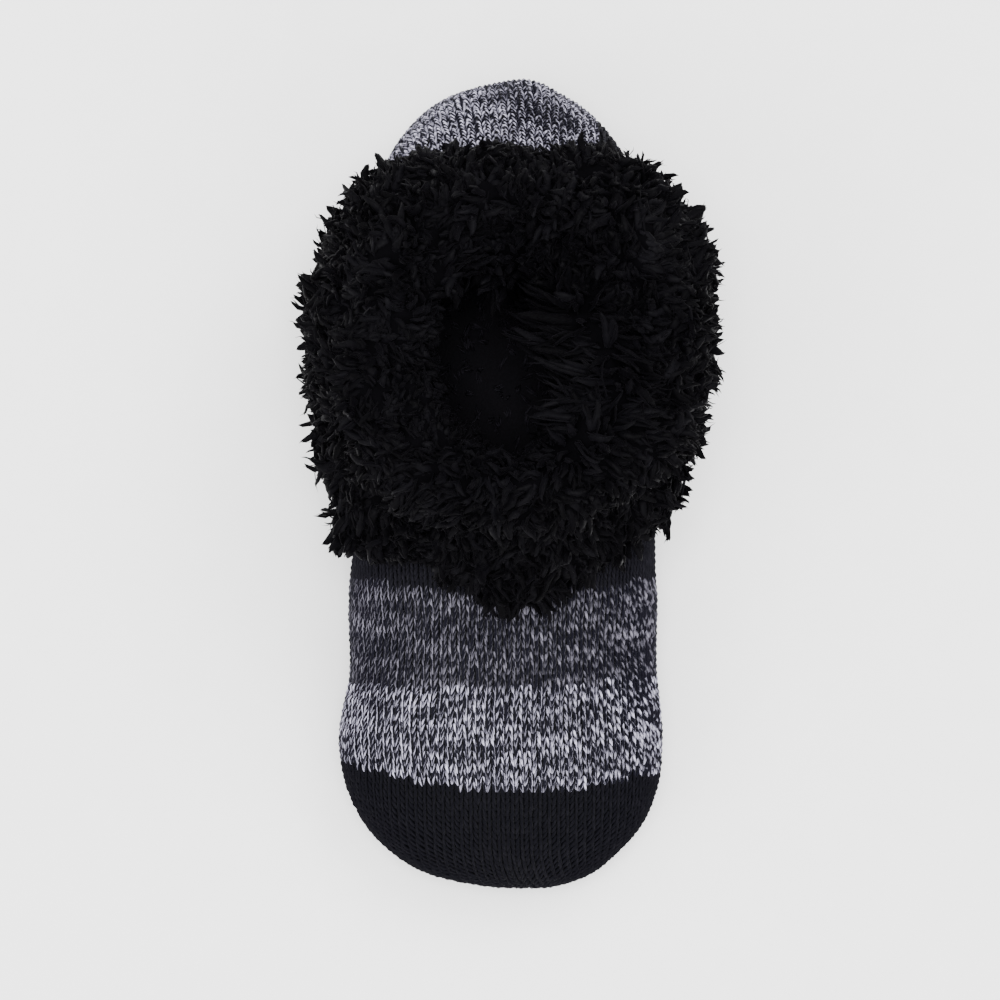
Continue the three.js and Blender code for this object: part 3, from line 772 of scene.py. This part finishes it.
def cuff_grid(angles, samples):
    """Points of the cuff's open face, from inside the collar over the crown to its lower edge,
    and of its back, which lies against the knit."""
    ts = np.linspace(RIM, 0.5, 500)
    p = skin(ts[:, None], angles)
    run = along_points(p)

    def down(distance):
        """The section at a distance below the rim."""
        distance = np.broadcast_to(distance, angles.shape)
        return np.array([np.interp(distance[k], run[:, k], ts) for k in range(len(angles))])

    def beside(t, distance):
        """Points at a distance outside the knitted surface."""
        return skin(t, angles) + outward(t, angles) * np.broadcast_to(distance, angles.shape)[:, None]

    fold_here = cuff_column(0, angles) * CUFF_FOLD
    bulk = cuff_column(1, angles) * CUFF_BULK * (1 + LUMP * np.sin(LUMPS * angles))
    lining = cuff_column(2, angles) * CUFF_LINING
    inner = -KNIT_WALL - FIT_GAP
    rows = [beside(down(d * CUFF_DEPTH_INSIDE), inner - o * lining) for d, o in LINING_PROFILE]
    rows.append(beside(RIM, inner - 0.8 * lining) + (0, 0, CUFF_CROWN * 0.55))
    rows.append(beside(RIM, -KNIT_WALL / 2) + (0, 0, CUFF_CROWN))
    rows.append(beside(RIM, FIT_GAP + 0.5 * bulk) + (0, 0, CUFF_CROWN * 0.8))
    rows += [beside(down(d * fold_here), FIT_GAP + o * bulk) for d, o in CUFF_PROFILE]
    rows = np.array(rows)
    arc = along_points(rows)
    share = arc / arc[-1]
    table = np.zeros((samples, len(angles), 3))
    for k in range(len(angles)):
        at = np.interp(np.linspace(0, 1, samples), share[:, k], np.arange(len(rows)))
        for axis in range(3):
            table[:, k, axis] = column(rows[:, k], axis, at)
    back = [beside(down(fold_here), FIT_GAP),
            beside(down(0.5 * fold_here), FIT_GAP),
            beside(RIM, FIT_GAP) + (0, 0, FIT_GAP),
            beside(RIM, inner) + (0, 0, FIT_GAP),
            beside(down(CUFF_DEPTH_INSIDE), inner)]
    return table, np.array(back)


CUFF_TURNS, CUFF_SAMPLES = 180, 64
cuff_angles = np.arange(CUFF_TURNS) / CUFF_TURNS * 2 * np.pi
face, back = cuff_grid(cuff_angles, CUFF_SAMPLES)
face_round = np.roll(face, -1, axis=1) - np.roll(face, 1, axis=1)
face_down = np.gradient(face, axis=0)
face_normal = unit(np.cross(face_down, face_round))

lumps = 1.3 * smooth_noise(face, 15, 41) + 0.7 * smooth_noise(face, 7, 43)
for degrees, width, at, reach, swell in SWELLS:
    apart = np.abs((np.degrees(cuff_angles) - degrees + 180) % 360 - 180)
    off = (np.linspace(0, 1, CUFF_SAMPLES) - at)[:, None]
    lumps += swell * np.exp(-(apart / width) ** 2 - (off / reach) ** 2)
cuff_skin = face + face_normal * (0.9 + lumps)[..., None]
ring = np.concatenate([cuff_skin - face_normal * 0.6, back])
verts = ring.reshape(-1, 3)
k = np.arange(CUFF_TURNS)
n = np.roll(k, -1)
low = len(verts) - CUFF_TURNS
faces = np.concatenate([ring_faces(len(ring), CUFF_TURNS), np.stack([low + k, low + n, n, k], axis=1)])
# The base surface carries painted shade: its colour stands in for the shadow between the locks.
cuff_base = piece("cuff_base", verts, faces, FLEECE_BASE_PAINTED_SHADE, tone=np.full(len(verts), 0.5))
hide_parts("cuff")


def on_cuff(grid, row, col):
    """A grid of the cuff's face at fractional rows and columns."""
    r = np.clip(np.floor(row).astype(int), 0, CUFF_SAMPLES - 2)
    c = np.floor(col).astype(int) % CUFF_TURNS
    u, v = (row - r)[:, None], (col - np.floor(col))[:, None]
    d = (c + 1) % CUFF_TURNS
    return ((grid[r, c] * (1 - v) + grid[r, d] * v) * (1 - u)
            + (grid[r + 1, c] * (1 - v) + grid[r + 1, d] * v) * u)


def tufts(count, seed):
    """Rows and columns of tufts spread evenly over the cuff's face."""
    rng = np.random.default_rng(seed)
    area = np.linalg.norm(np.cross(face_round / 2, face_down), axis=-1)[:-1]
    down = np.concatenate([[0], np.cumsum(area.sum(axis=1))])
    steps = np.arange(count) + rng.uniform()
    row = np.interp(steps * EVEN_STEPS[0] % 1 * down[-1], down, np.arange(len(down)))
    across = np.cumsum(area[np.floor(row).astype(int)], axis=1)
    want = (steps * EVEN_STEPS[1] % 1) * across[:, -1]
    col = (across < want[:, None]).sum(axis=1) + rng.uniform(size=count)
    return row, col


def tangent_noise(p, scale, seed):
    return np.stack([smooth_noise(p, scale, seed + k) for k in range(3)], axis=-1)


LOCK = np.array([0.0, 0.06, 0.34, 0.64, 0.88, 1.0])
LOCK_WIDTH = np.array([0, 0.8, 1.0, 0.95, 0.56, 0])
STRAND = np.array([0.0, 0.08, 0.5, 0.86, 1.0])
STRAND_WIDTH = np.array([0, 1.0, 0.85, 0.42, 0])
TUFTS = 2600  # in each third of the fleece
LOCK_LENGTH = (5.6, 8.8)
PILE_TUFTS = 640
PILE_ROWS = (-45, 100)  # from and to, along the foot
EVEN_STEPS = (0.7548776662, 0.5698402910)  # steps that fill a square evenly


def level(normal, v):
    """The part of v that lies across the normal."""
    return v - normal * np.sum(v * normal, axis=-1, keepdims=True)


# Tufts that lie near each other form a clump, which has its own place, way and tone
CLUMPS = on_cuff(cuff_skin, *tufts(900, 5))
CLUMP_WAY = np.random.default_rng(6).normal(size=CLUMPS.shape) * 0.75
CLUMP_TONE = np.random.default_rng(8).uniform(-0.25, 0.25, len(CLUMPS))


def tuft_frames(count, seed):
    """Roots, directions, bends, lengths and tones of curled tufts on the cuff's face. Tufts that
    share a clump lean the same way and bend towards its middle."""
    rng = np.random.default_rng(seed)
    row, col = tufts(count, seed)
    root = on_cuff(cuff_skin, row, col)
    clump = np.linalg.norm(root[:, None] - CLUMPS, axis=-1).argmin(axis=1)
    heart = CLUMPS[clump]
    normal = unit(on_cuff(face_normal, row, col))
    flow = unit(on_cuff(face_down, row, col))
    angle = col / CUFF_TURNS * 2 * np.pi
    share = row / (CUFF_SAMPLES - 1)
    inside = np.clip((0.42 - share) / 0.12, 0, 1)
    flow = unit(flow * (1 - 2 * inside)[:, None] + 0.05 * normal)
    flank = np.clip(np.cos(angle - math.radians(DRAPE_FROM)), 0, 1)
    crest = np.exp(-((np.degrees(angle) - CREST_FROM) / CREST_WIDTH) ** 2)
    drape = np.maximum(flank, crest) * inside
    lean = 0.35 + 0.35 * inside + 0.9 * drape + 0.3 * np.clip((share - 0.5) / 0.5, 0, 1)
    swirl = 0.9 * tangent_noise(heart, 19, 31) + 0.9 * CLUMP_WAY[clump]
    swirl = level(normal, swirl + 0.35 * rng.normal(size=root.shape)) * (1 - 0.8 * drape)[:, None]
    stand = 0.5 - 0.25 * drape + 0.6 * crest * inside
    way = unit(normal * stand[:, None] + flow * lean[:, None] + swirl * 0.8)
    hang = 1 + (cuff_column(3, angle) - 1) * np.clip((share - 0.6) / 0.4, 0, 1)
    front = np.clip(np.cos(angle + math.radians(25)), 0, 1) * inside
    length = rng.uniform(*LOCK_LENGTH, count) * (1 - 0.2 * inside - 0.3 * front + 2.3 * drape) * hang
    bend = unit(level(way, 0.7 * swirl + 0.6 * rng.normal(size=root.shape) + flow * 0.5))
    bend = bend * (rng.uniform(0.1, 0.5, count) * (1 - 0.75 * drape))[:, None]
    bend = bend + level(way, heart - root) * (0.35 / length * (1 - drape))[:, None]
    flat = unit(np.cross(way, bend))
    # shade holds the clump's random tone, made lighter on the crest's tuft as painted light where the
    # rim shades that tuft.
    shade = CLUMP_TONE[clump] - 0.5 * crest * inside
    return root, normal, way, bend, flat, np.cross(way, flat), length, shade


def lock_mesh(frames, rows, widths, sides, spread, half, crimp, seed):
    """A tapered lock along each tuft, set off from the tuft's root by the spread."""
    root, normal, way, bend, flat, third, length, shade = frames
    rng = np.random.default_rng(seed)
    n = len(root)
    u = rows[None, :, None]
    spin = rng.uniform(0, 2 * np.pi, n)
    offset = (flat * np.cos(spin)[:, None] + 0.6 * third * np.sin(spin)[:, None]) * spread
    stray = rng.normal(size=(n, 3)) * (0.25 + 0.35 * spread * (rng.uniform(size=n) < 0.2))[:, None]
    size = length * rng.uniform(0.85, 1.1, n)
    phase = rng.uniform(0, 2 * np.pi, n)[:, None] + rows * 6.5
    wave = flat[:, None] * np.cos(phase)[..., None] + third[:, None] * np.sin(phase)[..., None]
    middle = (root[:, None] - normal[:, None] * 1.2 + offset[:, None] * (1 - u ** 1.5)
              + way[:, None] * (size[:, None, None] * u)
              + bend[:, None] * (size[:, None, None] * u * u)
              + wave * crimp * np.sqrt(u) + stray[:, None] * u * u)
    wide = half * rng.uniform(0.75, 1.2, n)[:, None] * widths
    up = third[:, None] + 0.25 * rng.normal(size=(n, 1, 3))
    verts, tris, quads, count = strands(middle, up, wide, 0.38 * wide, sides)
    # Painted light: tone rises from root to tip and the colour darkens with it, so the shaded roots
    # are painted lighter.
    tone = (shade + rng.uniform(0.0, 0.5, n))[:, None] + 0.5 * rows
    turn = np.arange(sides) / sides
    tone = per_point(tone, sides).ravel()
    run = per_point(np.broadcast_to(rows, (n, len(rows))) * size[:, None], sides).ravel()
    side = np.abs(turn - 0.5)[None, None, :] * wide[:, 1:-1, None] * 4
    pole = np.zeros((n, 1))
    side = np.concatenate([pole, side.reshape(n, -1), pole], axis=1).ravel()
    number = np.repeat(rng.uniform(0, 50, n), count)
    return verts, tris, quads, tone, run, side, number


def fleece(count, seed):
    """A third of the cuff's tufts: points, faces and attributes."""
    frames = tuft_frames(count, seed)
    lock = lock_mesh(frames, LOCK, LOCK_WIDTH, sides=5, spread=0.3, half=1.4, crimp=0.7,
                     seed=seed + 1)
    strand = lock_mesh(frames, STRAND, STRAND_WIDTH, sides=3, spread=1.7, half=0.6, crimp=1.0,
                       seed=seed + 2)
    for faces in strand[1:3]:
        faces += len(lock[0])
    verts, tris, quads, *values = (np.concatenate(pair) for pair in zip(lock, strand))
    return verts, [tris, quads], dict(zip(("tone", "run", "side", "number"), values))


for name, seed in (("fleece_locks_a", 101), ("fleece_locks_b", 202), ("fleece_locks_c", 303)):
    verts, faces, values = fleece(TUFTS, seed)
    made = piece(name, verts, faces, FLEECE_WITH_PAINTED_LIGHT, **values)
    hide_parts("cuff")


def insole_outline(z):
    """Points near a height on the wall of the room inside the knit."""
    ts = np.linspace(0.8, 19, 260)
    turns = np.linspace(0, 2 * np.pi, 361)[:-1]
    room = KNIT_WALL + FIT_GAP
    p = skin(ts[:, None], turns) - outward(ts[:, None], turns) * room
    near = np.abs(p[..., 2] - z) < 1.2
    return p[near]


def insole():
    """A crowned pad inside the knit and above the sole, with its rows, edges and height."""
    low = SOLE_THICKNESS + FIT_GAP
    top = low + INSOLE_THICKNESS
    edge = insole_outline(low + INSOLE_THICKNESS / 2)
    y0, y1 = edge[:, 1].min() + 1.5, edge[:, 1].max() - 1.5
    ys = y0 + (y1 - y0) * (1 - np.cos(np.linspace(0, np.pi, 90))) / 2
    left = np.array([edge[np.abs(edge[:, 1] - y) < 2.5][:, 0].min() for y in ys])
    right = np.array([edge[np.abs(edge[:, 1] - y) < 2.5][:, 0].max() for y in ys])
    left[[0, -1]] = right[[0, -1]] = (left[[0, -1]] + right[[0, -1]]) / 2
    kernel = np.ones(5) / 5
    left[2:-2] = np.convolve(left, kernel, "valid")
    right[2:-2] = np.convolve(right, kernel, "valid")
    turn = np.linspace(0, 2 * np.pi, 49)[:-1]
    side = rounded(np.cos(turn), 2 / 0.45)
    up = rounded(np.sin(turn), 2 / 0.55)
    x = (left + right)[:, None] / 2 + (right - left)[:, None] / 2 * 0.985 * side
    end = np.sqrt(np.clip(1 - ((ys - (y0 + y1) / 2) / ((y1 - y0) / 2)) ** 2, 0, 1)) ** 0.35
    z = (low + top) / 2 + INSOLE_THICKNESS / 2 * up * np.maximum(end, 0.1)[:, None]
    y = np.broadcast_to(ys[:, None], x.shape)
    verts, faces = capped(np.stack([x, y, z], axis=-1))
    return verts, faces, (ys, left, right, top)


verts, faces, (ys, left, right, insole_top) = insole()
pad = piece("insole_pad", verts, faces, PILE_WITH_PAINTED_LIGHT, tone=np.full(len(verts), 0.15))
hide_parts("insole")


def insole_pile(count, seed):
    """Tufts of short strands on the part of the insole that can be seen from above."""
    rng = np.random.default_rng(seed)
    y = rng.uniform(*PILE_ROWS, count)
    half = np.interp(y, ys, (right - left) / 2) - 2.5
    x = np.interp(y, ys, (right + left) / 2) + half * rng.uniform(-1, 1, count)
    root = np.stack([x, y, np.full(count, insole_top - 0.8)], axis=-1)
    stray = 0.8 * tangent_noise(root, 12, 91) + 0.4 * rng.normal(size=root.shape)
    way = unit(np.array([0, 0, 0.4]) + stray)
    way[:, 2] = np.abs(way[:, 2])
    per = 4
    rep = np.repeat(np.arange(count), per)
    m = count * per
    size = rng.uniform(3.5, 5.5, m)
    offset = rng.normal(size=(m, 3)) * (0.8, 0.8, 0)
    share = np.array([0, 0.1, 0.55, 1.0])
    u = share[None, :, None]
    bend = rng.normal(size=(count, 3)) * (1, 1, 0.2)
    middle = (root[rep][:, None] + offset[:, None] * (1 - 0.6 * u)
              + way[rep][:, None] * size[:, None, None] * u + bend[rep][:, None] * 1.2 * u * u)
    up = rng.normal(size=(m, 1, 3))
    thick = rng.uniform(0.35, 0.5, m)[:, None] * np.array([0, 1, 0.7, 0])
    verts, tris, quads, _ = strands(middle, up, thick, thick, 3)
    # Painted light: the strands' tones lie above the pad's, most of all towards their tips.
    tone = rng.uniform(0.5, 1, m)[:, None] * (0.4 + 0.6 * share)
    return verts, [tris, quads], per_point(tone, 3).ravel()


verts, faces, tone = insole_pile(PILE_TUFTS, 17)
made = piece("insole_pile", verts, faces, PILE_WITH_PAINTED_LIGHT, tone=tone)
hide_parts("insole")


def sole_shape():
    """The sole as a soft pad with rounded edges, and its outline."""
    steps = np.linspace(0, len(SOLE_PLAN) - 1, 120)
    y = column(SOLE_PLAN, 0, steps) * LENGTH
    left = -column(SOLE_PLAN, 1, steps) * HALF_WIDTH
    right = column(SOLE_PLAN, 2, steps) * HALF_WIDTH
    low = underside(y) + GRIP_RISE
    bevel = (0.35, 0.5)  # of the upper edge, inwards and down
    radius = SOLE_EDGE_RADIUS - GRIP_RISE / 2
    arcs = np.linspace(0, np.pi / 2, 6)
    inset = np.concatenate([[bevel[0], 0.0], radius * (1 - np.cos(arcs))])
    top = np.full(len(y), SOLE_THICKNESS)
    heights = [top, top - bevel[1]] + [low + radius * (1 - np.sin(arc)) for arc in arcs]
    left_side = [(left + i, height) for i, height in zip(inset, heights)]
    below = [(left * (1 - w) + right * w, low) for w in (0.25, 0.5, 0.75)]
    right_side = [(right - i, height) for i, height in zip(inset, heights)]
    above = [(right * (1 - w) + left * w, top - 0.02) for w in (0.33, 0.66)]
    x, z = np.array(left_side + below + right_side[::-1] + above).transpose(1, 2, 0)
    rows = np.stack([x, np.broadcast_to(y[:, None], x.shape), z], axis=-1)
    verts, faces = capped(rows + ORIGIN)
    outline = np.concatenate([np.stack([left, y], axis=1), np.stack([right, y], axis=1)[::-1]])
    return verts, faces, outline + ORIGIN[:2]


verts, faces, outline = sole_shape()
sole = piece("sole_pad", verts, faces, SOLE_KNIT, tone=np.full(len(verts), 0.5))
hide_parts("sole")


def sole_stitches():
    """Dense knit stitches on the sole's underside."""
    width, course, edge = 2.6, 2.1, 1.6
    legs = []
    for y in np.arange(10.0, 232.0, course):
        left, right = sole_side(y, 1), sole_side(y, 2)
        if left < 0:
            continue
        first, last = math.ceil((edge - left) / width), math.floor((right - edge) / width)
        x = np.arange(first, last + 1) * width
        for leg in (-1, 1):
            same = np.ones(len(x))
            legs.append(np.stack([x + leg * width / 4, y * same, leg * same], axis=1))
    legs = np.concatenate(legs)
    share = np.array([0, 0.25, 0.75, 1.0])
    x = legs[:, :1] + legs[:, 2:3] * (0.35 - 0.6 * share)
    y = legs[:, 1:2] + course * (-0.75 + 1.5 * share)
    z = underside(y) + GRIP_RISE + 0.05 - 0.2 * np.sin(np.pi * share)
    middle = np.stack([x, y, z], axis=-1) + ORIGIN
    line = unit(np.gradient(middle, axis=1))
    down = np.broadcast_to(np.array([0, 0, -1.0]), line.shape)
    sideways = unit(np.cross(line, down))
    wide = np.tile([0, 0.55, 0.55, 0], (len(legs), 1))
    deep = np.tile([0, 0.32, 0.32, 0], (len(legs), 1))
    verts, tris, quads, count = tubes(middle, sideways, down, wide, deep, 3)
    verts[:, 2] = np.maximum(verts[:, 2], 0.02)
    return verts, [tris, quads], np.repeat(RNG.uniform(0.2, 0.9, len(legs)), count)


verts, faces, tone = sole_stitches()
made = piece("sole_stitches", verts, faces, SOLE_KNIT, tone=tone)
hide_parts("sole")


def grip_dots():
    """Low round dots in staggered rows on the sole's underside."""
    verts, tips, quads = [], [], []
    rings = [(1.0, 1.3), (0.82, 0.4), (0.42, 0.05)]
    sides = 14
    turn = np.arange(sides) / sides * 2 * np.pi
    start = 0
    for row, y in enumerate(np.arange(16.0, 226.0, DOT_ROWS)):
        left, right = sole_side(y, 1), sole_side(y, 2)
        if left < 0:
            continue
        shift = DOT_PITCH / 2 if row % 2 else 0.0
        for x in np.arange(-5, 6) * DOT_PITCH + shift:
            if x < -left + DOT_EDGE or x > right - DOT_EDGE:
                continue
            low = float(underside(np.array(y)))
            for share, rise in rings:
                verts.append(np.stack([x + DOT_RADIUS * share * np.cos(turn),
                                       y + DOT_RADIUS * share * np.sin(turn),
                                       np.full(sides, low + rise * GRIP_RISE)], axis=1))
            verts.append(np.array([[x, y, low]]))
            quads.append(start + ring_faces(len(rings), sides))
            middle = start + len(rings) * sides
            tips.append(fan(middle, middle - sides + np.arange(sides)))
            start = middle + 1
    return np.concatenate(verts) + ORIGIN, [np.concatenate(tips), np.concatenate(quads)]


verts, faces = grip_dots()
made = piece("grip_dots", verts, faces, GRIP)


def edge_stitches():
    """Short slanted stitches that close the sole to the upper all round."""
    loop = np.concatenate([outline, outline[:1]])
    run = along_points(loop)
    at = np.arange(0, run[-1], 2.4)
    x, y = np.interp(at, run, loop[:, 0]), np.interp(at, run, loop[:, 1])
    ahead = (at + 0.8) % run[-1]
    x2, y2 = np.interp(ahead, run, loop[:, 0]), np.interp(ahead, run, loop[:, 1])
    way = unit(np.stack([x2 - x, y2 - y, 0 * x], axis=1))
    side = np.stack([-way[:, 1], way[:, 0], 0 * x], axis=1)
    low = underside(y - ORIGIN[1])
    share = np.array([0, 0.2, 0.5, 0.8, 1.0])
    z = np.maximum(low + 1.0, 1.2)
    up = np.array([0, 0, 1.0])
    lift = 0.5 - 1.1 * np.sin(np.pi * share) + 1.2 * share
    middle = (np.stack([x, y, z], axis=1)[:, None]
              + side[:, None] * (1.7 * (share - 0.42))[None, :, None]
              + way[:, None] * (1.3 * (share - 0.5))[None, :, None]
              + up * lift[None, :, None])
    wide = np.tile([0, 0.6, 0.75, 0.6, 0], (len(at), 1))
    verts, tris, quads, count = strands(middle, up, wide, wide * 0.8, 5)
    verts[:, 2] = np.maximum(verts[:, 2], 0.05)
    return verts, [tris, quads], np.repeat(RNG.uniform(0.2, 0.8, len(at)), count)


verts, faces, tone = edge_stitches()
made = piece("sole_edge_stitches", verts, faces, BLACK, tone=tone)


def floor():
    mesh = bpy.data.meshes.new("floor")
    mesh.from_pydata([(-3, -3, 0), (3, -3, 0), (3, 3, 0), (-3, 3, 0)], [], [(0, 1, 2, 3)])
    look = Look("floor_pale")
    grain = look.noise(look.place(), 60, 2.0)
    look.shade(look.ramp(grain, [(0.3, (0.93, 0.93, 0.93)), (0.7, (0.95, 0.95, 0.95))]),
               0.9, Specular_IOR_Level=0.1)
    mesh.materials.append(look.material)
    made = new_object("floor", mesh)


floor()

world = bpy.data.worlds.new("studio")
world.use_nodes = True
background = world.node_tree.nodes["Background"]
background.inputs["Color"].default_value = (1, 1, 1, 1)
background.inputs["Strength"].default_value = 2.1
bpy.context.scene.world = world


def lamp(name, place, target, size, power):
    data = bpy.data.lights.new(name, "AREA")
    data.shape = "RECTANGLE"
    data.size, data.size_y = size
    data.energy = power
    made = new_object(name, data)
    made.location = place
    made.rotation_euler = (Vector(target) - Vector(place)).to_track_quat("-Z", "Y").to_euler()


lamp("key", (0.55, 0.75, 1.35), (0, 0, 0.03), (0.7, 0.7), 15)
lamp("top", (-0.1, 0.08, 1.6), (0, 0, 0.03), (0.5, 0.5), 24)
lamp("fill", (-1.0, -0.5, 1.1), (0, 0, 0.03), (1.0, 1.0), 12)
lamp("front", (0.4, -1.1, 0.9), (0, 0, 0.03), (0.9, 0.6), 8)

CAMERA = (-0.0517, -0.004, 1.35)
TARGET = (0.0, -0.004, 0.0)
WIDTH_AT_TARGET = 0.3165
data = bpy.data.cameras.new("camera")
distance = (Vector(TARGET) - Vector(CAMERA)).length
data.lens = data.sensor_width * distance / WIDTH_AT_TARGET
data.clip_start = 0.05
camera = new_object("camera", data)
camera.location = CAMERA
camera.rotation_euler = (0, -math.atan2(TARGET[0] - CAMERA[0], CAMERA[2]), 0)
bpy.context.scene.camera = camera

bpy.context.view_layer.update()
